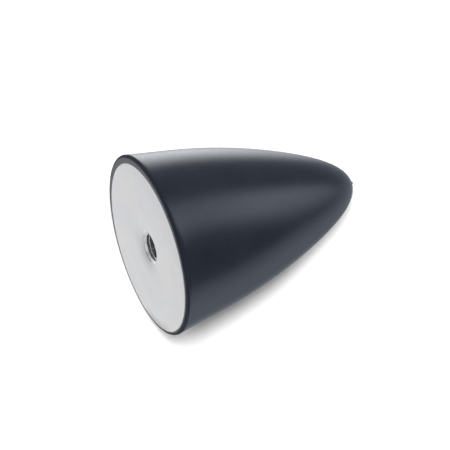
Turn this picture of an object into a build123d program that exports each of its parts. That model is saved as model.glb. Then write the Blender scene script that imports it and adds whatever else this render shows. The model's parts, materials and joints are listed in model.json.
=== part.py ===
from build123d import *

import os
from math import radians, tan

# A round rubber buffer with a blunt parabolic nose, moulded on a steel plate with a threaded bush.
# It stands on its flat end: Z runs from the flat end to the tip, and sizes are in millimetres.

# Rubber body, its side drawn as tangent arcs that crowd towards the rim
rim_radius = 37.5
body_height = 90.0
rim_bevel = 1.1
shoulder_swell = 1.15
tip_power = 3
rim_power = 2
side_arcs = 6
arc_crowding = 1.3

# Nub that the mould leaves on the tip
nub_radius = 0.6
nub_height = 0.7

# Steel plate, bonded into the flat end a little off the body's axis
lip_width = 2.5
plate_thickness = 3.0
plate_shift = 0.9

# Coarse metric thread and its tapped hole
thread_radius = 6.0
thread_pitch = 1.75
countersink_margin = 0.5
tapped_depth = 16.0
drill_point_angle = 118.0

# Bush around the thread, with a pilot in the plate and a flange welded behind it
pilot_wall = 1.8
barrel_wall = 3.4
flange_width = 4.5
flange_thickness = 2.5
end_wall = 2.0
end_chamfer = 1.0

# Shallow dish that the weld leaves around the hole
dish_margin = 0.5
dish_depth = 0.8

plate_radius = rim_radius - lip_width
core_radius = thread_radius - thread_pitch / 2
mouth_radius = thread_radius + countersink_margin
countersink_end = dish_depth + mouth_radius - core_radius
drill_point = core_radius / tan(radians(drill_point_angle / 2))
pilot_radius = mouth_radius + pilot_wall
barrel_radius = core_radius + barrel_wall
flange_radius = barrel_radius + flange_width
flange_back = plate_thickness + flange_thickness
bush_length = tapped_depth + drill_point + end_wall
dish_radius = flange_radius + dish_margin
side_height = body_height - rim_bevel
nub_share = nub_radius / rim_radius
nub_top = body_height + nub_height

plate_plane = Plane(origin=(plate_shift, 0, 0))
bush_section = Plane(origin=(plate_shift, 0, 0), x_dir=(1, 0, 0), z_dir=(0, -1, 0))
bush_axis = Axis((plate_shift, 0, 0), (0, 0, 1))


def side_point(share: float) -> tuple[float, float]:
    """Radius and height of the body's side, for a share from 0 at the tip to 1 at the rim.

    The side is a parabola whose shoulder swells out by shoulder_swell where it is fullest.
    """
    drop = share**2
    fullest = tip_power / (tip_power + rim_power)
    swell = (drop / fullest) ** tip_power * ((1 - drop) / (1 - fullest)) ** rim_power
    return rim_radius * share + shoulder_swell * swell, rim_bevel + side_height * (1 - drop)


# Outline of the bush without its hole
with BuildSketch(bush_section) as bush_outline:
    with BuildLine():
        Polyline(
            (0, 0),
            (pilot_radius, 0),
            (pilot_radius, plate_thickness),
            (flange_radius, plate_thickness),
            (flange_radius, flange_back),
            (barrel_radius, flange_back),
            (barrel_radius, bush_length - end_chamfer),
            (barrel_radius - end_chamfer, bush_length),
            (0, bush_length),
            close=True,
        )
    make_face()

# Outline of the dish, the countersink and the drilled hole
with BuildSketch(bush_section) as hole_outline:
    with BuildLine():
        TangentArc((dish_radius, 0), (mouth_radius, dish_depth), tangent=(-1, 0))
        Polyline(
            (mouth_radius, dish_depth),
            (core_radius, countersink_end),
            (core_radius, tapped_depth),
            (0, tapped_depth + drill_point),
            (0, 0),
            (dish_radius, 0),
        )
    make_face()

# Steel plate
with BuildPart() as base_plate:
    with BuildSketch(plate_plane):
        Circle(plate_radius)
        Circle(pilot_radius, mode=Mode.SUBTRACT)
    extrude(amount=plate_thickness)
    revolve(hole_outline.sketch, axis=bush_axis, mode=Mode.SUBTRACT)
base_plate.part.label = "base_plate"

# Blind threaded bush
with BuildPart() as threaded_bush:
    revolve(bush_outline.sketch, axis=bush_axis)
    revolve(hole_outline.sketch, axis=bush_axis, mode=Mode.SUBTRACT)
threaded_bush.part.label = "threaded_bush"

# Rubber body, moulded round the plate and the bush
with BuildPart() as rubber_body:
    with BuildSketch(Plane.XZ):
        with BuildLine():
            rim_edge = Polyline((0, 0), (rim_radius - rim_bevel, 0), (rim_radius, rim_bevel))
            arc_start = rim_edge @ 1
            heading = (-rim_radius, 2 * side_height)
            for arc_number in range(1, side_arcs + 1):
                share = 1 - (arc_number / side_arcs) ** arc_crowding * (1 - nub_share)
                side_arc = TangentArc(arc_start, side_point(share), tangent=heading)
                arc_start = side_arc @ 1
                heading = side_arc % 1
            Polyline(arc_start, (nub_radius, nub_top), (0, nub_top), (0, 0))
        make_face()
    revolve(axis=Axis.Z)
    with BuildSketch(plate_plane):
        Circle(plate_radius)
    extrude(amount=plate_thickness, mode=Mode.SUBTRACT)
    revolve(bush_outline.sketch, axis=bush_axis, mode=Mode.SUBTRACT)
rubber_body.part.label = "rubber_body"

os.makedirs("parts", exist_ok=True)
export_step(base_plate.part, "parts/base_plate.step")
export_step(threaded_bush.part, "parts/threaded_bush.step")
export_step(rubber_body.part, "parts/rubber_body.step")
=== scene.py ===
"""The looks of a rubber buffer: a blunt black nose moulded on a plated disc with a tapped bush."""

import json
import logging
from collections.abc import Callable
from dataclasses import dataclass, field
from enum import Enum
from math import acos, asin, atan2, cos, floor, hypot, pi, radians, sin, sqrt, tan, tau

import bmesh
import bpy
from mathutils import Matrix, Vector


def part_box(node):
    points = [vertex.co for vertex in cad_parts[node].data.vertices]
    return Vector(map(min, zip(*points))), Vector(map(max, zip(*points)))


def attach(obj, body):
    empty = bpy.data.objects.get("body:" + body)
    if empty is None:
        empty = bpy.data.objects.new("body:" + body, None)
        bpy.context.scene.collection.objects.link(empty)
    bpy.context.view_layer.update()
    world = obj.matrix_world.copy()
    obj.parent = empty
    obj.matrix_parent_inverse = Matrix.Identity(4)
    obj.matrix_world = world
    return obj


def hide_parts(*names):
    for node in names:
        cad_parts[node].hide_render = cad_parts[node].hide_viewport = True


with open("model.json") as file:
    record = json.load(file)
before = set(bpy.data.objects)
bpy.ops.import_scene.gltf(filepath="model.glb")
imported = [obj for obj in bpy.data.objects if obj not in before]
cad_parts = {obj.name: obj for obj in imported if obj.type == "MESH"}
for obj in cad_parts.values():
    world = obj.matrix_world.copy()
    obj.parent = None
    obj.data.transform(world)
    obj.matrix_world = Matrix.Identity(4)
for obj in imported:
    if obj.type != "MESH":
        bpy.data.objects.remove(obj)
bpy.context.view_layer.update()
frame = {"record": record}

Pair = tuple[float, float]
Triple = tuple[float, float, float]
Socket = bpy.types.NodeSocket

MM = 0.001
UPRIGHT = Vector((0.0, 0.0, 1.0))
AT_ORIGIN = Matrix()
NO_HEIGHT = (1.0, 1.0, 0.0)
WHITE = (1.0, 1.0, 1.0)
log = logging.getLogger("buffer")


class Slot(Enum):
    """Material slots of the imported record."""

    RUBBER = "rubber"
    STEEL = "plated_steel"


@dataclass(frozen=True)
class Value:
    """A number socket that Python's operators turn into Math nodes."""

    graph: "Graph"
    source: Socket

    def _math(self, operation: str, *inputs: "Value | float", clamp: bool = False) -> "Value":
        """One Math node of these inputs."""
        settings = {"operation": operation, "use_clamp": clamp}
        return self.graph.value(self.graph.node("Math", settings, dict(enumerate(inputs))))

    def __add__(self, other: "Value | float") -> "Value":
        """Sum."""
        return self._math("ADD", self, other)

    def __radd__(self, other: float) -> "Value":
        """Sum with a number on the left."""
        return self._math("ADD", other, self)

    def __sub__(self, other: "Value | float") -> "Value":
        """Difference."""
        return self._math("SUBTRACT", self, other)

    def __rsub__(self, other: float) -> "Value":
        """Difference with a number on the left."""
        return self._math("SUBTRACT", other, self)

    def __mul__(self, other: "Value | float") -> "Value":
        """Product."""
        return self._math("MULTIPLY", self, other)

    def __rmul__(self, other: float) -> "Value":
        """Product with a number on the left."""
        return self._math("MULTIPLY", other, self)

    def __truediv__(self, other: "Value | float") -> "Value":
        """Quotient."""
        return self._math("DIVIDE", self, other)

    def __rtruediv__(self, other: float) -> "Value":
        """Quotient with a number on the left."""
        return self._math("DIVIDE", other, self)

    def distance_to(self, level: float) -> "Value":
        """How far the value is from a level."""
        return self._math("ABSOLUTE", self - level)

    def clamped(self) -> "Value":
        """The value kept between 0 and 1."""
        return self._math("ADD", self, 0.0, clamp=True)

    def toward(self, other: "Value | float", share: "Value") -> "Value":
        """The value moved towards another by a share from 0 to 1."""
        return self + (other - self) * share

    def blended(self, other: "Value", share: float) -> "Value":
        """A share of the value with the rest of another."""
        return self * share + other * (1 - share)


@dataclass(frozen=True)
class Noise:
    """A noise pattern: its waves in a metre, its octaves and how far it is warped."""

    scale: float
    detail: float = 2.0
    distortion: float = 0.0


class Graph:
    """A node tree of a material, a lamp or the world, with short ways to add nodes."""

    # The Mix node's sockets for colours go by number, because their names aren't unique
    MIX_INPUTS = (0, 6, 7)
    MIX_RESULT = 2

    def __init__(self, owner: bpy.types.Material | bpy.types.Light | bpy.types.World) -> None:
        """Empties the owner's node tree.

        Args:
            owner: The material, lamp or world whose nodes are built.
        """
        owner.use_nodes = True
        self.tree = owner.node_tree
        self.tree.nodes.clear()

    def node(self, kind: str, settings: dict[str, object] | None = None,
             inputs: dict[str | int, object] | None = None) -> bpy.types.Node:
        """Adds any node.

        Args:
            kind: The node's type without its ShaderNode prefix.
            settings: Properties, such as a Math node's operation, set first.
            inputs: Socket names or numbers, each with a number, a colour, a vector, a socket, a
                Value or a node, whose first output is taken.

        Returns:
            The new node.
        """
        made = self.tree.nodes.new(f"ShaderNode{kind}")
        for name, setting in (settings or {}).items():
            setattr(made, name, setting)
        for name, value in (inputs or {}).items():
            if isinstance(value, Value):
                value = value.source
            elif isinstance(value, bpy.types.Node):
                value = value.outputs[0]
            if isinstance(value, Socket):
                self.tree.links.new(value, made.inputs[name])
            else:
                made.inputs[name].default_value = value
        return made

    def value(self, node: bpy.types.Node, output: str | int = 0) -> Value:
        """A node's output as a Value."""
        return Value(self, node.outputs[output])

    def vector(self, operation: str, *inputs: Socket | Triple) -> bpy.types.Node:
        """One Vector Math node of these inputs."""
        return self.node("VectorMath", {"operation": operation}, dict(enumerate(inputs)))

    def length(self, vector: Socket) -> Value:
        """A vector's length."""
        return self.value(self.vector("LENGTH", vector), "Value")

    def along(self, vector: Socket, axis: Vector | Triple) -> Value:
        """How far a vector reaches along an axis."""
        return self.value(self.vector("DOT_PRODUCT", vector, tuple(axis)), "Value")

    def part(self, vector: Socket, axis: str) -> Value:
        """A vector's X, Y or Z."""
        return self.value(self.node("SeparateXYZ", {}, {0: vector}), axis)

    def object_point(self, scale: Triple = (1.0, 1.0, 1.0)) -> Socket:
        """The shaded point in metres, stretched along each axis by scale."""
        place = self.node("TexCoord").outputs["Object"]
        return self.node("Mapping", {}, {"Vector": place, "Scale": scale}).outputs[0]

    def noise(self, point: Socket, pattern: Noise) -> Value:
        """Reads a noise at a point.

        Args:
            point: The place, in metres.
            pattern: The noise.

        Returns:
            Its level, from 0 to 1.
        """
        return self.value(self.node("TexNoise", {}, {
            "Vector": point, "Scale": pattern.scale, "Detail": pattern.detail,
            "Distortion": pattern.distortion}))

    def span(self, level: Value, low: float, high: float, to_low: float = 0.0,
             to_high: float = 1.0) -> Value:
        """Maps a level from one range to another, with eased ends, and holds it there.

        Args:
            level: What is mapped.
            low: The level that gives to_low.
            high: The level that gives to_high.
            to_low: Result at low.
            to_high: Result at high.

        Returns:
            The mapped level.
        """
        return self.value(self.node("MapRange", {"interpolation_type": "SMOOTHSTEP"}, {
            "Value": level, "From Min": low, "From Max": high, "To Min": to_low,
            "To Max": to_high}))

    def tint(self, factor: Value, first: Socket | Triple, second: Socket | Triple) -> Socket:
        """Mixes two colours.

        Args:
            factor: Share of the second, from 0 to 1.
            first: A colour, plain or from a socket.
            second: Another.

        Returns:
            The mixed colour's socket.
        """
        first, second = ((*each, 1.0) if isinstance(each, tuple) else each
                         for each in (first, second))
        inputs = dict(zip(self.MIX_INPUTS, (factor, first, second)))
        return self.node("Mix", {"data_type": "RGBA"}, inputs).outputs[self.MIX_RESULT]

    def bump(self, height: Value, distance: float, normal: Socket | None = None) -> Socket:
        """A normal that leans with a height.

        Args:
            height: The level of the surface, from 0 to 1.
            distance: How far a level of 1 stands out, in metres.
            normal: The normal that it starts from, if not the surface's own.

        Returns:
            The normal socket.
        """
        inputs = {"Height": height, "Distance": distance}
        if normal is not None:
            inputs["Normal"] = normal
        return self.node("Bump", {}, inputs).outputs[0]

    def mixed(self, factor: Value, first: bpy.types.Node, second: bpy.types.Node) -> bpy.types.Node:
        """A shader between two, by a factor from 0 to 1."""
        return self.node("MixShader", {}, {0: factor, 1: first, 2: second})

    def finish(self, shader: bpy.types.Node, output: str = "OutputMaterial") -> None:
        """Links a shader to the tree's output."""
        self.node(output, {}, {"Surface": shader})


@dataclass(frozen=True)
class RubberFinish:
    """Satin black moulded rubber with a bluish cast, duller on the lip and matt on the rim."""

    edge_radius: float
    rim_height: float
    dark: Triple = (0.0095, 0.0125, 0.0220)
    light: Triple = (0.0125, 0.0155, 0.0255)
    gloss_tint: Triple = (0.81, 0.88, 1.0)
    cloud: Noise = Noise(60.0, detail=3.0)
    cloud_span: Pair = (0.35, 0.65)
    ripple: Noise = Noise(420.0)
    ripple_share: float = 0.6
    ripple_height: float = 0.004 * MM
    grain: Noise = Noise(5200.0)
    grain_height: float = 0.004 * MM
    satin_span: Pair = (0.3, 0.7)
    roughness: Pair = (0.24, 0.28)
    rim_roughness: float = 0.80
    rim_fade: float = 0.3 * MM
    lip_roughness: float = 0.42
    lip_fade: Pair = (-0.1 * MM, 0.2 * MM)
    ior: float = 1.5

    def with_matt_rim(self, graph: Graph, satin: Value) -> Value:
        """Makes the lip round the plate and the rounded rim duller than the rest.

        Args:
            graph: The material's node tree.
            satin: The roughness elsewhere.

        Returns:
            The roughness all over.
        """
        radius = graph.length(graph.object_point(NO_HEIGHT))
        height = graph.part(graph.object_point(), "Z")
        low = graph.span(height, self.rim_height, self.rim_height + self.rim_fade, 1.0, 0.0)
        edge = (self.edge_radius + fade for fade in self.lip_fade)
        dull = graph.span(radius, *edge, self.lip_roughness, self.rim_roughness)
        return satin.toward(dull, low)

    def material(self) -> bpy.types.Material:
        """Builds the material.

        Returns:
            The material, read in Object coordinates.
        """
        made = bpy.data.materials.new("moulded_rubber")
        graph = Graph(made)
        point = graph.object_point()
        cloud = graph.noise(point, self.cloud)
        ripple = graph.noise(point, self.ripple)
        colour = graph.tint(graph.span(cloud, *self.cloud_span), self.dark, self.light)
        sheen = ripple.blended(cloud, self.ripple_share)
        satin = graph.span(sheen, *self.satin_span, *self.roughness)
        normal = graph.bump(ripple, self.ripple_height)
        normal = graph.bump(graph.noise(point, self.grain), self.grain_height, normal)
        graph.finish(graph.node("BsdfPrincipled", {}, {
            "Base Color": colour, "Roughness": self.with_matt_rim(graph, satin),
            "IOR": self.ior, "Specular Tint": (*self.gloss_tint, 1.0), "Normal": normal}))
        return made


@dataclass(frozen=True)
class EdgeDarkening:
    """A soft darker grey patch near the edge of a round face, on one side, in metres and degrees.
    """

    axis_x: float
    edge_radius: float
    direction: float = 11.0
    reach: float = 24.0
    width: float = 4.5 * MM
    strength: float = 0.9
    blotches: Noise = Noise(130.0)
    blotch_span: Pair = (0.25, 0.60)
    blotch_levels: Pair = (0.5, 1.0)

    def share(self, graph: Graph) -> Value:
        """How strong the mark is at a point, from 0 to 1.

        Args:
            graph: The node tree of the face's material.

        Returns:
            The share.
        """
        point = graph.object_point(NO_HEIGHT)
        spoke = graph.vector("SUBTRACT", point, (self.axis_x, 0.0, 0.0)).outputs[0]
        radius = graph.length(spoke)
        middle = radians(self.direction)
        nearness = graph.along(spoke, (cos(middle), sin(middle), 0.0)) / radius
        near_edge = graph.span(radius, self.edge_radius - self.width, self.edge_radius)
        blotches = graph.noise(point, self.blotches)
        blotch = graph.span(blotches, *self.blotch_span, *self.blotch_levels)
        sector = graph.span(nearness, cos(radians(self.reach)), 1.0)
        return near_edge * blotch * sector * self.strength


@dataclass(frozen=True)
class ZincFinish:
    """Matt zinc plating with broad faint clouds and fine mottling, shinier in a tapped bore, where
    its paler colour is painted light.
    """

    name: str = "zinc_plating"
    cool: Triple = (0.595, 0.600, 0.620)
    warm: Triple = (0.630, 0.628, 0.618)
    pale: Triple = (0.660, 0.662, 0.672)
    hue: Noise = Noise(42.0, detail=1.5, distortion=0.3)
    hue_span: Pair = (0.42, 0.62)
    cloud: Noise = Noise(75.0, detail=3.0)
    cloud_stretch: Triple = (1.3, 1.0, 1.0)
    pale_share: float = 0.65
    pale_span: Pair = (0.36, 0.64)
    mottle: Noise = Noise(480.0)
    mottle_height: float = 0.004 * MM
    speck: Noise = Noise(3600.0)
    speck_height: float = 0.003 * MM
    matt_share: float = 0.5
    matt_span: Pair = (0.35, 0.65)
    roughness: Pair = (0.38, 0.46)
    bore_painted_light_tint: Triple = (0.68, 0.685, 0.695)
    bore_roughness: float = 0.22
    bore_span: Pair = (0.68 * MM, 0.86 * MM)
    darker_grey: Triple = (0.40, 0.40, 0.41)
    edge_darkening: EdgeDarkening | None = None

    def material(self) -> bpy.types.Material:
        """Builds the material.

        Returns:
            The material, read in Object coordinates.
        """
        made = bpy.data.materials.new(self.name)
        graph = Graph(made)
        point = graph.object_point()
        hue = graph.noise(point, self.hue)
        cloud = graph.noise(graph.object_point(self.cloud_stretch), self.cloud)
        mottle = graph.noise(point, self.mottle)
        inside = graph.span(graph.part(point, "Z"), *self.bore_span)
        colour = graph.tint(graph.span(hue, *self.hue_span), self.cool, self.warm)
        level = graph.span(cloud.blended(mottle, self.pale_share), *self.pale_span)
        colour = graph.tint(level, colour, self.pale)
        # the paler colour in the bore is painted light that brightens the hole
        colour = graph.tint(inside, colour, self.bore_painted_light_tint)
        # a soft darker grey patch near the face's edge, on one side
        if self.edge_darkening is not None:
            colour = graph.tint(self.edge_darkening.share(graph), colour, self.darker_grey)
        matt = cloud.blended(mottle, self.matt_share)
        rough = graph.span(matt, *self.matt_span, *self.roughness)
        rough = rough.toward(self.bore_roughness, inside)
        normal = graph.bump(mottle, self.mottle_height)
        normal = graph.bump(graph.noise(point, self.speck), self.speck_height, normal)
        graph.finish(graph.node("BsdfPrincipled", {}, {
            "Base Color": colour, "Metallic": 1.0, "Roughness": rough, "Normal": normal}))
        return made


def add_object(name: str, data: bpy.types.ID, place: Matrix = AT_ORIGIN) -> bpy.types.Object:
    """Adds an object to the scene.

    Args:
        name: The object's name.
        data: Its mesh, lamp or camera.
        place: Where it stands and how it is turned, at the origin if left out.

    Returns:
        The new object.
    """
    made = bpy.data.objects.new(name, data)
    made.matrix_world = place
    bpy.context.scene.collection.objects.link(made)
    return made


def add_mesh(name: str, mesh: bmesh.types.BMesh, material: bpy.types.Material) -> bpy.types.Object:
    """Turns a mesh into an object at the origin.

    Args:
        name: The object's name.
        mesh: The mesh, freed here.
        material: The finish of all its faces.

    Returns:
        The new object.
    """
    data = bpy.data.meshes.new(name)
    mesh.to_mesh(data)
    mesh.free()
    data.materials.append(material)
    return add_object(name, data)


def facing(right: Vector, up: Vector, back: Vector) -> Matrix:
    """The turn that brings X, Y and Z to three directions."""
    return Matrix((right, up, back)).transposed().to_4x4()


@dataclass
class Outline:
    """A half section of a round piece, as points of radius and height in metres."""

    points: list[Pair] = field(default_factory=list)

    def line(self, *points: Pair) -> "Outline":
        """Adds corners joined by straight runs."""
        self.points.extend(points)
        return self

    def run(self, end: Pair, steps: int) -> "Outline":
        """Adds a straight run in even steps.

        Args:
            end: Where it ends.
            steps: How many pieces it has.

        Returns:
            This outline.
        """
        start = self.points[-1]
        for step in range(1, steps + 1):
            share = step / steps
            self.points.append(tuple(a + (b - a) * share for a, b in zip(start, end)))
        return self

    def arc(self, centre: Pair, radius: float, start: float, end: float, steps: int) -> "Outline":
        """Adds a round stretch, both its ends included.

        Args:
            centre: The arc's centre.
            radius: Its radius.
            start: Angle of its first point, in degrees from the outward direction.
            end: Angle of its last point.
            steps: How many pieces it has.

        Returns:
            This outline.
        """
        for step in range(steps + 1):
            angle = radians(start + (end - start) * step / steps)
            self.points.append((centre[0] + radius * cos(angle), centre[1] + radius * sin(angle)))
        return self


@dataclass
class Lathe:
    """One mesh that round pieces are spun in, with the steps of a full turn."""

    segments: int
    same_place: float = 0.0005 * MM
    crisp_turn: float = 35.0
    mesh: bmesh.types.BMesh = field(default_factory=bmesh.new)

    def spin(self, outline: Outline, axis_x: float, closed: bool = False) -> None:
        """Spins an outline a full turn about an upright axis.

        Args:
            outline: The half section.
            axis_x: Where the axis crosses X.
            closed: Whether the last point joins the first.
        """
        points = [self.mesh.verts.new((axis_x + radius, 0.0, height))
                  for radius, height in outline.points]
        pairs = list(zip(points, points[1:]))
        if closed:
            pairs.append((points[-1], points[0]))
        edges = [self.mesh.edges.new(pair) for pair in pairs]
        bmesh.ops.spin(self.mesh, geom=points + edges, cent=(axis_x, 0.0, 0.0), axis=UPRIGHT,
                       angle=tau, steps=self.segments, use_merge=True)

    def shift(self, chosen: Callable[[Vector], bool], x: float) -> None:
        """Slides a part of the mesh along X.

        Args:
            chosen: Says whether a point belongs to that part.
            x: How far it slides.
        """
        points = [vertex for vertex in self.mesh.verts if chosen(vertex.co)]
        bmesh.ops.translate(self.mesh, verts=points, vec=(x, 0.0, 0.0))

    def piece(self, name: str, material: bpy.types.Material) -> bpy.types.Object:
        """Turns the mesh into a piece with smooth faces and crisp corners.

        Args:
            name: The piece's name.
            material: Its finish.

        Returns:
            The new object, at the origin.
        """
        bmesh.ops.remove_doubles(self.mesh, verts=self.mesh.verts, dist=self.same_place)
        bmesh.ops.recalc_face_normals(self.mesh, faces=self.mesh.faces)
        for face in self.mesh.faces:
            face.smooth = True
        for edge in self.mesh.edges:
            edge.smooth = edge.calc_face_angle(0.0) < radians(self.crisp_turn)
        return add_mesh(name, self.mesh, material)


@dataclass(frozen=True)
class Dish:
    """The shallow hollow round the hole, an arc that leaves the flat face level."""

    outer_radius: float
    inner_radius: float
    depth: float

    @property
    def width(self) -> float:
        """How far the hollow reaches inwards."""
        return self.outer_radius - self.inner_radius

    @property
    def arc_radius(self) -> float:
        """Radius of the arc that falls by depth from the outer to the inner radius."""
        return (self.width**2 + self.depth**2) / (2 * self.depth)

    @property
    def inner_slope(self) -> float:
        """Slope of the hollow at its inner radius, in radians."""
        return asin(self.width / self.arc_radius)

    def height(self, radius: float) -> float:
        """Height of the dished face at a radius."""
        return self.arc_radius - sqrt(self.arc_radius**2 - (self.outer_radius - radius) ** 2)

    def points(self, start: float, end: float, steps: int) -> list[Pair]:
        """Points of the dished face from one radius to another."""
        radii = [start + (end - start) * step / steps for step in range(steps + 1)]
        return [(radius, self.height(radius)) for radius in radii]


@dataclass(frozen=True)
class BufferSizes:
    """The sizes that the pieces share, in metres, the first of them read from the frame."""

    rim_radius: float
    top: float
    axis_x: float
    plate_radius: float
    plate_thickness: float
    core_radius: float
    mouth_z: float
    flange_radius: float
    bush_end: float
    mouth_radius: float = 6.5 * MM
    pilot_wall: float = 1.8 * MM
    barrel_wall: float = 3.4 * MM
    flange_thickness: float = 2.5 * MM
    end_chamfer: float = 1.0 * MM
    dish_margin: float = 0.5 * MM

    @classmethod
    def from_frame(cls) -> "BufferSizes":
        """Reads the sizes.

        Returns:
            Sizes from the boxes of the nodes and the fixing thread's mount.
        """
        body_low, body_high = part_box("rubber_body")
        plate_low, plate_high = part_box("base_plate")
        bush_low, bush_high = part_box("threaded_bush")
        mounts = frame["record"]["mounts"]
        thread = next(mount for mount in mounts if mount["name"] == "fixing_thread")
        return cls(
            rim_radius=(body_high.x - body_low.x) / 2,
            top=body_high.z,
            axis_x=(plate_high.x + plate_low.x) / 2,
            plate_radius=(plate_high.x - plate_low.x) / 2,
            plate_thickness=plate_high.z,
            core_radius=thread["dims"]["r_mm"] * MM,
            mouth_z=thread["pos_m"][2],
            flange_radius=(bush_high.x - bush_low.x) / 2,
            bush_end=bush_high.z)

    @property
    def pilot_radius(self) -> float:
        """Radius of the bush where it fills the plate's hole."""
        return self.mouth_radius + self.pilot_wall

    @property
    def dish(self) -> Dish:
        """The hollow, which runs from past the flange to the hole's mouth."""
        depth = self.mouth_z - (self.mouth_radius - self.core_radius)
        return Dish(self.flange_radius + self.dish_margin, self.mouth_radius, depth)

    @property
    def bush_back(self) -> list[Pair]:
        """Outline of the bush behind the plate.

        Returns:
            Radii and heights, from the flange's front to the end's middle.
        """
        flange_back = self.plate_thickness + self.flange_thickness
        barrel_radius = self.core_radius + self.barrel_wall
        return [
            (self.flange_radius, self.plate_thickness),
            (self.flange_radius, flange_back),
            (barrel_radius, flange_back),
            (barrel_radius, self.bush_end - self.end_chamfer),
            (barrel_radius - self.end_chamfer, self.bush_end),
            (0.0, self.bush_end)]


def register(piece: bpy.types.Object, node: str) -> bpy.types.Object:
    """Ties a piece to the frame.

    Args:
        piece: The finished piece, at the origin.
        node: The CAD node that it stands for.

    Returns:
        The piece.
    """
    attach(piece, "root")
    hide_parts(node)
    return piece


@dataclass
class RubberNose:
    """The moulded rubber body, with the pocket that holds the plate and the bush."""

    sizes: BufferSizes
    rim_rounding: float = 1.1 * MM
    rim_steps: int = 8
    shoulder_swell: float = 1.15 * MM
    tip_power: int = 3
    rim_power: int = 2
    side_steps: int = 110
    nub_radius: float = 0.6 * MM
    nub_height: float = 0.7 * MM
    nub_rounding: float = 0.2 * MM
    nub_steps: int = 4
    lip_rounding: float = 0.15 * MM
    lip_slope: float = 5.0
    lip_steps: int = 4
    pocket_margin: float = 0.01 * MM
    segments: int = 256

    @property
    def rim_height(self) -> float:
        """Where the rim is widest.

        Returns:
            The height at which the rounding that starts at the sloping lip is upright.
        """
        slope = radians(self.lip_slope)
        lip_start = self.sizes.plate_radius + self.lip_rounding
        lip_end = self.sizes.rim_radius - self.rim_rounding * (1 - sin(slope))
        return (lip_end - lip_start) * tan(slope) + self.rim_rounding * cos(slope)

    def side(self, share: float) -> Pair:
        """A point of the side, a parabola whose shoulder swells out.

        Args:
            share: How far the point is from the tip, at 0, to the rim, at 1.

        Returns:
            Its radius and height.
        """
        rim_height = self.rim_height
        tip_height = self.sizes.top - self.nub_height
        drop = share**2
        fullest = self.tip_power / (self.tip_power + self.rim_power)
        swell = (drop / fullest) ** self.tip_power * ((1 - drop) / (1 - fullest)) ** self.rim_power
        radius = self.sizes.rim_radius * share + self.shoulder_swell * swell
        return radius, rim_height + (tip_height - rim_height) * (1 - drop)

    def add_outside(self, outline: Outline) -> None:
        """Carries an outline from the lip round the rim and over the nose to the axis.

        Args:
            outline: The body's outline, which reaches the lip's inner edge.
        """
        rim_centre = (self.sizes.rim_radius - self.rim_rounding, self.rim_height)
        outline.arc(rim_centre, self.rim_rounding, self.lip_slope - 90, 0, self.rim_steps)
        nub_share = self.nub_radius / self.sizes.rim_radius
        for step in range(1, self.side_steps + 1):
            outline.line(self.side(1 - step / self.side_steps * (1 - nub_share)))
        nub_centre = (self.nub_radius - self.nub_rounding, self.sizes.top - self.nub_rounding)
        outline.arc(nub_centre, self.nub_rounding, 0, 90, self.nub_steps)
        outline.line((0.0, self.sizes.top))

    def add_pocket(self, outline: Outline) -> None:
        """Carries an outline from the end of the bush's pocket to the lip's inner edge.

        Args:
            outline: The body's outline, still empty.
        """
        radius, rounding = self.sizes.plate_radius, self.lip_rounding
        outline.line(*reversed(self.sizes.bush_back), (radius, self.sizes.plate_thickness))
        outline.arc((radius + rounding, rounding), rounding, 180, 270, self.lip_steps)

    def in_pocket(self, point: Vector) -> bool:
        """Tells the pocket's wall from the outside.

        Args:
            point: A point of the spun body, before the pocket is shifted.

        Returns:
            Whether it lies on the wall.
        """
        sizes = self.sizes
        low = point.z <= sizes.plate_thickness
        widest = sizes.plate_radius + self.lip_rounding if low else sizes.flange_radius
        within = hypot(point.x, point.y) <= widest + self.pocket_margin
        return point.z <= sizes.bush_end and within

    def build(self) -> bpy.types.Object:
        """Makes and dresses the piece.

        Returns:
            The rubber piece, which stands for the node rubber_body.
        """
        outline = Outline()
        self.add_pocket(outline)
        self.add_outside(outline)
        lathe = Lathe(self.segments)
        lathe.spin(outline, 0.0)
        lathe.shift(self.in_pocket, self.sizes.axis_x)
        finish = RubberFinish(self.sizes.rim_radius - self.rim_rounding, self.rim_height)
        made = lathe.piece("rubber_nose", finish.material())
        return register(made, "rubber_body")


@dataclass
class PlatedDisc:
    """The steel plate in the flat end, with the dish that the weld left round the hole."""

    sizes: BufferSizes
    dish_steps: int = 16
    edge_rounding: float = 0.15 * MM
    edge_steps: int = 6
    segments: int = 256

    def build(self) -> bpy.types.Object:
        """Makes and dresses the piece.

        Returns:
            The disc, which stands for the node base_plate.
        """
        sizes, rounding = self.sizes, self.edge_rounding
        radius, back, pilot = sizes.plate_radius, sizes.plate_thickness, sizes.pilot_radius
        outline = Outline(sizes.dish.points(pilot, sizes.dish.outer_radius, self.dish_steps))
        outline.arc((radius - rounding, rounding), rounding, -90, 0, self.edge_steps)
        outline.line((radius, back), (pilot, back))
        lathe = Lathe(self.segments)
        lathe.spin(outline, sizes.axis_x, closed=True)
        finish = ZincFinish(edge_darkening=EdgeDarkening(sizes.axis_x, radius))
        made = lathe.piece("plated_disc", finish.material())
        return register(made, "base_plate")


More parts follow.
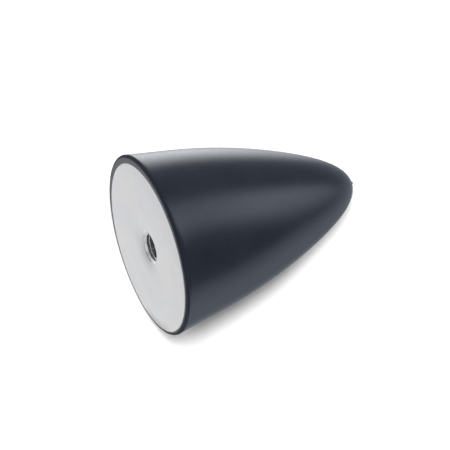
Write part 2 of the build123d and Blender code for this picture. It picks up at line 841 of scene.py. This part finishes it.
@dataclass
class TappedBush:
    """The blind bush, with a countersunk mouth and the turns of a coarse metric thread."""

    sizes: BufferSizes
    thread_radius: float = 6.0 * MM
    thread_pitch: float = 1.75 * MM
    thread_start: float = 30.0
    crest_share: float = 0.25
    root_share: float = 0.17
    tapped_depth: float = 16.0 * MM
    run_out: float = 2.0 * MM
    drill_point: float = 3.08 * MM
    mouth_rounding: float = 1.6 * MM
    mouth_slope: float = 45.0
    mouth_steps: int = 6
    wall_margin: float = 0.001 * MM
    rows: int = 150
    segments: int = 144
    finish: ZincFinish = ZincFinish("zinc_bush")

    def wall_radius(self, height: float, turn: float) -> float:
        """Radius of the tapped wall.

        Args:
            height: Height of the point.
            turn: Its angle about the axis, as a share of a full turn.

        Returns:
            The radius, with the thread's groove and the countersink taken out.
        """
        phase = height / self.thread_pitch - turn
        swing = abs(phase - floor(phase) - 0.5) * 2
        groove = (swing - self.crest_share) / (1 - self.root_share - self.crest_share)
        fade = (self.tapped_depth - self.run_out - height) / self.thread_pitch
        groove = min(max(groove, 0.0), 1.0) * min(max(fade, 0.0), 1.0)
        core = self.sizes.core_radius
        threaded = core + (self.thread_radius - core) * groove
        return max(threaded, self.mouth_wall(height))

    @property
    def mouth_bend(self) -> Pair:
        """Slopes in radians of the dish at the mouth and of the countersink."""
        return self.sizes.dish.inner_slope, radians(self.mouth_slope)

    @property
    def mouth_start(self) -> Pair:
        """Where the dish turns into the mouth's rounding.

        Returns:
            The radius and the height there.
        """
        slope, end = self.mouth_bend
        dish = self.sizes.dish
        setback = self.mouth_rounding * tan((end - slope) / 2)
        return dish.inner_radius + setback * cos(slope), dish.depth - setback * sin(slope)

    def mouth_wall(self, height: float) -> float:
        """Radius of the mouth, which is rounded and then countersunk.

        Args:
            height: Height of the point.

        Returns:
            The radius there.
        """
        slope, end = self.mouth_bend
        radius, start = self.mouth_start
        turn = min(max(height - start, 0.0) / self.mouth_rounding, cos(slope) - cos(end))
        bend = acos(cos(slope) - turn)
        depth = self.mouth_rounding * turn
        rounded = radius - self.mouth_rounding * (sin(bend) - sin(slope))
        return rounded - max(height - start - depth, 0.0)

    def outline(self) -> Outline:
        """The half section, with a plain wall where the thread goes.

        Returns:
            The outline, which starts and ends on the axis.
        """
        sizes = self.sizes
        core, pilot = sizes.core_radius, sizes.pilot_radius
        mouth_radius, mouth_height = self.mouth_start
        outline = Outline()
        outline.line((0.0, self.tapped_depth + self.drill_point), (core, self.tapped_depth))
        outline.run((core, mouth_height), self.rows)
        outline.line(*sizes.dish.points(mouth_radius, pilot, self.mouth_steps)[1:])
        return outline.line((pilot, sizes.plate_thickness), *sizes.bush_back)

    def cut_thread(self, mesh: bmesh.types.BMesh) -> None:
        """Moves the plain wall out to the thread's turns and the countersink.

        Args:
            mesh: The spun bush.
        """
        axis_x = self.sizes.axis_x
        for vertex in mesh.verts:
            across, height = vertex.co.x - axis_x, vertex.co.z
            radius = hypot(across, vertex.co.y)
            if abs(radius - self.sizes.core_radius) > self.wall_margin:
                continue
            angle = atan2(vertex.co.y, across)
            radius = self.wall_radius(height, (angle + radians(self.thread_start)) / tau)
            vertex.co.x = axis_x + radius * cos(angle)
            vertex.co.y = radius * sin(angle)

    def build(self) -> bpy.types.Object:
        """Makes and dresses the piece.

        Returns:
            The bush, which stands for the node threaded_bush.
        """
        lathe = Lathe(self.segments)
        lathe.spin(self.outline(), self.sizes.axis_x)
        self.cut_thread(lathe.mesh)
        made = lathe.piece("tapped_bush", self.finish.material())
        return register(made, "threaded_bush")


@dataclass(frozen=True)
class Viewpoint:
    """The photograph's viewing direction, and where the part lies in its picture."""

    turn: float = 17.07
    lean: float = 18.65
    swing: float = 16.0
    distance: float = 3.75
    far_end: float = 11.25
    lens: float = 752.4
    sensor: float = 36.0
    shift_right: float = 30.94 * MM
    shift_up: float = 8.234 * MM

    def swung(self, x: float, y: float, z: float) -> Vector:
        """A direction turned about the part's axis by the plate's swing in the photograph."""
        return Matrix.Rotation(-radians(self.swing), 3, "Z") @ Vector((x, y, z))

    @property
    def right(self) -> Vector:
        """The picture's right, in the row frame."""
        turn, lean = radians(self.turn), radians(self.lean)
        return self.swung(sin(turn), -cos(turn) * sin(lean), cos(turn) * cos(lean))

    @property
    def up(self) -> Vector:
        """The picture's upward direction, in the row frame."""
        turn, lean = radians(self.turn), radians(self.lean)
        return self.swung(-cos(turn), -sin(turn) * sin(lean), sin(turn) * cos(lean))

    @property
    def back(self) -> Vector:
        """The direction from the part to the camera."""
        lean = radians(self.lean)
        return self.swung(0.0, -cos(lean), -sin(lean))

    def direction(self, right: float, up: float, back: float) -> Vector:
        """A direction given by its shares of right, up and back."""
        return (self.right * right + self.up * up + self.back * back).normalized()

    def make_camera(self) -> None:
        """Makes the camera and sets it as the scene's own."""
        data = bpy.data.cameras.new("camera")
        data.lens = self.lens
        data.sensor_width = self.sensor
        data.clip_end = self.far_end
        shift = self.right * self.shift_right + self.up * self.shift_up
        place = Matrix.Translation(shift + self.back * self.distance)
        turned = facing(self.right, self.up, self.back)
        bpy.context.scene.camera = add_object("camera", data, place @ turned)


@dataclass(frozen=True)
class Softbox:
    """A flat lamp that faces the part and fades towards its edges.

    It stands from_camera degrees off the camera's direction, at a bearing in the picture that
    is measured from the right, and is turned in its own plane by spin.
    """

    name: str
    from_camera: float
    bearing: float
    spin: float
    size: Pair
    fade: Pair
    radiance: float
    distance: float = 1.2

    def soften(self, data: bpy.types.Light) -> None:
        """Makes the lamp fade over its outer part.

        Args:
            data: The lamp's data, whose places run from 0 to 1 along each side.
        """
        middle = edge = 0.5
        graph = Graph(data)
        place = graph.node("NewGeometry").outputs["Parametric"]
        away = (graph.part(place, axis).distance_to(middle) for axis in "XY")
        across, along = (graph.span(distance, edge - fade / size, edge, 1.0, 0.0)
                         for distance, size, fade in zip(away, self.size, self.fade))
        graph.finish(graph.node("Emission", {}, {"Strength": across * along}), "OutputLight")

    def build(self, view: Viewpoint, centre: Vector, lit: bpy.types.Collection) -> None:
        """Makes the lamp.

        Args:
            view: The viewpoint whose axes place it.
            centre: The point that it faces.
            lit: What it lights.
        """
        data = bpy.data.lights.new(self.name, "AREA")
        data.shape = "RECTANGLE"
        data.size, data.size_y = self.size
        data.energy = self.radiance * pi * self.size[0] * self.size[1]
        self.soften(data)
        away, bearing = radians(self.from_camera), radians(self.bearing)
        back = view.direction(sin(away) * cos(bearing), sin(away) * sin(bearing), cos(away))
        right = (view.right - back * view.right.dot(back)).normalized()
        turned = facing(right, back.cross(right), back)
        spun = turned @ Matrix.Rotation(radians(self.spin), 4, "Z")
        place = Matrix.Translation(centre + back * self.distance)
        made = add_object(self.name, data, place @ spun)
        made.visible_camera = False
        made.light_linking.receiver_collection = lit


@dataclass(frozen=True)
class Patch:
    """A round patch of the room: a card that adds light, or a flag that takes a share away.

    Its span is the nearness to its middle, 1 being the middle itself, at which it starts and at
    which it has its whole level.
    """

    level: float
    toward: Triple
    span: Pair

    def at(self, graph: Graph, looking: Socket, view: Viewpoint) -> Value:
        """The patch's level in the looking direction."""
        nearness = graph.along(looking, view.direction(*self.toward))
        return graph.span(nearness, *self.span, 0.0, self.level)


@dataclass(frozen=True)
class Room:
    """The backdrop: plain white to the camera, and in gloss a dim room over a pale floor.

    The pairs named span, depth and horizon hold the shares of a direction along an axis, from -1
    to 1, between which the room goes from one level to another.
    """

    view: Viewpoint
    down: Vector
    fill: float = 0.76
    cool: Triple = (0.90, 0.96, 1.05)
    walls: Pair = (0.243, 0.411)
    walls_span: Pair = (-0.174, 1.174)
    left_wall: float = 0.15
    left_span: Pair = (0.2, 0.5)
    horizon: Pair = (0.099, 0.299)
    floor_level: float = 0.80
    floor_rise: float = -0.429
    left_floor: Pair = (0.87, 1.20)
    left_depth: Pair = (0.35, 0.78)
    shade: Patch = Patch(level=1.0, toward=(0.312, -0.4105, -0.8568), span=(0.797, 1.165))
    cards: tuple[Patch, ...] = (
        Patch(level=0.45, toward=(-0.76, -0.233, 0.606), span=(0.90, 0.98)),
        Patch(level=0.35, toward=(-0.47, -0.87, 0.15), span=(0.80, 0.98)),
        Patch(level=0.26, toward=(-0.94, 0.33, -0.12), span=(0.90, 0.98)),
    )
    flags: tuple[Patch, ...] = (
        Patch(level=0.7, toward=(-0.93, 0.0, -0.36), span=(0.945, 0.985)),
        Patch(level=0.28, toward=(-0.55, -0.74, -0.38), span=(0.89, 0.965)),
    )

    def gloss(self, graph: Graph, looking: Socket, beside: Value) -> Value:
        """What a reflection shows.

        Args:
            graph: The world's node tree.
            looking: The looking direction.
            beside: How far that direction is on the room's left, from 0 to 1.

        Returns:
            The brightness in the looking direction.
        """
        below = graph.along(looking, self.down)
        upward = graph.along(looking, self.view.up)
        ground = (upward * self.floor_rise + 1) * self.floor_level
        ground = ground.toward(graph.span(below, *self.left_depth, *self.left_floor), beside)
        ground = ground * (1 - self.shade.at(graph, looking, self.view))
        room = graph.span(upward, *self.walls_span, *self.walls) + beside * self.left_wall
        for card in self.cards:
            room = room + card.at(graph, looking, self.view)
        whole = room.toward(ground, graph.span(below, *self.horizon))
        for flag in self.flags:
            whole = whole * (1 - flag.at(graph, looking, self.view))
        return whole

    def build(self) -> None:
        """Makes the world."""
        made = bpy.data.worlds.new("studio")
        bpy.context.scene.world = made
        graph = Graph(made)
        looking = graph.node("TexCoord").outputs["Generated"]
        beside = graph.span(graph.along(looking, -self.view.right), *self.left_span)
        ray = graph.node("LightPath")
        camera = graph.value(ray, "Is Camera Ray")
        glossy = graph.value(ray, "Is Glossy Ray")
        reflected = (glossy + graph.value(ray, "Is Transmission Ray")).clamped()
        rest = 1 - (reflected + camera).clamped()
        strength = reflected * self.gloss(graph, looking, beside) + camera + rest * self.fill
        colour = graph.tint(reflected * (1 - beside), WHITE, self.cool)
        shader = graph.node("Background", {}, {"Color": colour, "Strength": strength})
        graph.finish(shader, "OutputWorld")


@dataclass(frozen=True)
class Lift:
    """Extra glow of a floor, from none at one place along its run to the whole level at another."""

    level: float
    start: float
    full: float


@dataclass(frozen=True)
class Floor:
    """A pale, faintly glowing floor, seen by the camera alone and from its front.

    It has a light of its own, whose shadow of the part falls on this floor alone. The lifts are
    placed along its run.
    """

    name: str
    normal: Vector
    point: Vector
    toward_light: Vector
    run: Vector = Vector((1.0, 0.0, 0.0))
    lifts: tuple[Lift, ...] = ()
    size: float = 4.0
    paint: float = 0.25
    glow: float = 0.13
    light_angle: float = 20.0
    light_level: float = 3.9

    def material(self) -> bpy.types.Material:
        """Builds the floor's plain paint.

        Returns:
            The material, clear to all rays but the camera's.
        """
        made = bpy.data.materials.new(self.name)
        graph = Graph(made)
        glow = graph.node("Emission", {}, {"Strength": self.glow})
        for lift in self.lifts:
            place = graph.along(graph.object_point(), self.run)
            lifted = graph.node("Emission", {}, {"Strength": self.glow + lift.level})
            glow = graph.mixed(graph.span(place, lift.start, lift.full), glow, lifted)
        grey = (self.paint, self.paint, self.paint, 1.0)
        diffuse = graph.node("BsdfDiffuse", {}, {"Color": grey})
        paint = graph.node("AddShader", {}, {0: diffuse, 1: glow})
        front = 1 - graph.value(graph.node("NewGeometry"), "Backfacing")
        shown = graph.value(graph.node("LightPath"), "Is Camera Ray") * front
        graph.finish(graph.mixed(shown, graph.node("BsdfTransparent"), paint))
        return made

    def light(self, lit: bpy.types.Object) -> None:
        """Makes the floor's own light.

        Args:
            lit: The floor's object, which is all that it lights.
        """
        data = bpy.data.lights.new(f"{self.name}_light", "SUN")
        data.angle = radians(self.light_angle)
        data.energy = self.light_level * pi
        only = bpy.data.collections.new(data.name)
        only.objects.link(lit)
        turned = self.toward_light.to_track_quat("Z", "Y").to_matrix().to_4x4()
        made = add_object(data.name, data, turned)
        made.light_linking.receiver_collection = only

    def build(self) -> None:
        """Lays the floor through its point and lights it."""
        mesh = bmesh.new()
        turned = UPRIGHT.rotation_difference(self.normal).to_matrix().to_4x4()
        bmesh.ops.create_grid(mesh, x_segments=1, y_segments=1, size=self.size,
                              matrix=Matrix.Translation(self.point) @ turned)
        made = add_mesh(self.name, mesh, self.material())
        made.visible_shadow = False
        self.light(made)


@dataclass(frozen=True)
class Studio:
    """The white room: floors, lamps and backdrop."""

    view: Viewpoint
    floor_lean: float = 17.0
    light_lean: float = 11.0
    standing_light: Triple = (-0.45, -0.30, 1.0)
    lifts: tuple[Lift, ...] = (
        Lift(level=0.16, start=50.0 * MM, full=73.0 * MM),
        Lift(level=0.22, start=23.0 * MM, full=11.0 * MM),
    )
    lamps: tuple[Softbox, ...] = (
        Softbox("main_softbox", from_camera=70.5, bearing=26.1, spin=7.0, size=(2.602, 1.072),
                fade=(1.5, 0.427), radiance=2.28),
        Softbox("rear_softbox", from_camera=138.7, bearing=92.6, spin=25.9, size=(0.924, 1.361),
                fade=(0.462, 0.579), radiance=2.58),
    )

    def leaning(self, lean: float) -> Vector:
        """A direction that leans by some degrees from the camera to the picture's top."""
        return self.view.direction(0.0, sin(radians(lean)), cos(radians(lean)))

    def build(self, pieces: list[bpy.types.Object]) -> None:
        """Makes the floors, the lamps and the backdrop round the part.

        Args:
            pieces: The part's pieces, the first one that it lies on in the photograph.
        """
        normal = self.leaning(self.floor_lean)
        lowest = min(vertex.co.dot(normal) for vertex in pieces[0].data.vertices)
        Room(self.view, -normal).build()
        Floor("lying_floor", normal, normal * lowest, self.leaning(self.light_lean),
              run=self.view.right, lifts=self.lifts).build()
        toward_light = Vector(self.standing_light).normalized()
        Floor("standing_floor", UPRIGHT, Vector(), toward_light).build()
        lit = bpy.data.collections.new("part")
        for piece in pieces:
            lit.objects.link(piece)
        centre = UPRIGHT * (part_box("rubber_body")[1].z / 2)
        for lamp in self.lamps:
            lamp.build(self.view, centre, lit)
        log.info("the studio has %d softboxes", len(self.lamps))


def main() -> None:
    """Builds the pieces, the camera and the studio."""
    logging.basicConfig(level=logging.INFO, format="%(message)s")
    bpy.context.scene.view_settings.view_transform = "Standard"
    sizes = BufferSizes.from_frame()
    pieces = []
    for assembly in (RubberNose(sizes), PlatedDisc(sizes), TappedBush(sizes)):
        piece = assembly.build()
        pieces.append(piece)
        log.info("%s is built, with %d faces", piece.name, len(piece.data.polygons))
    view = Viewpoint()
    view.make_camera()
    Studio(view).build(pieces)


if __name__ == "__main__":
    main()
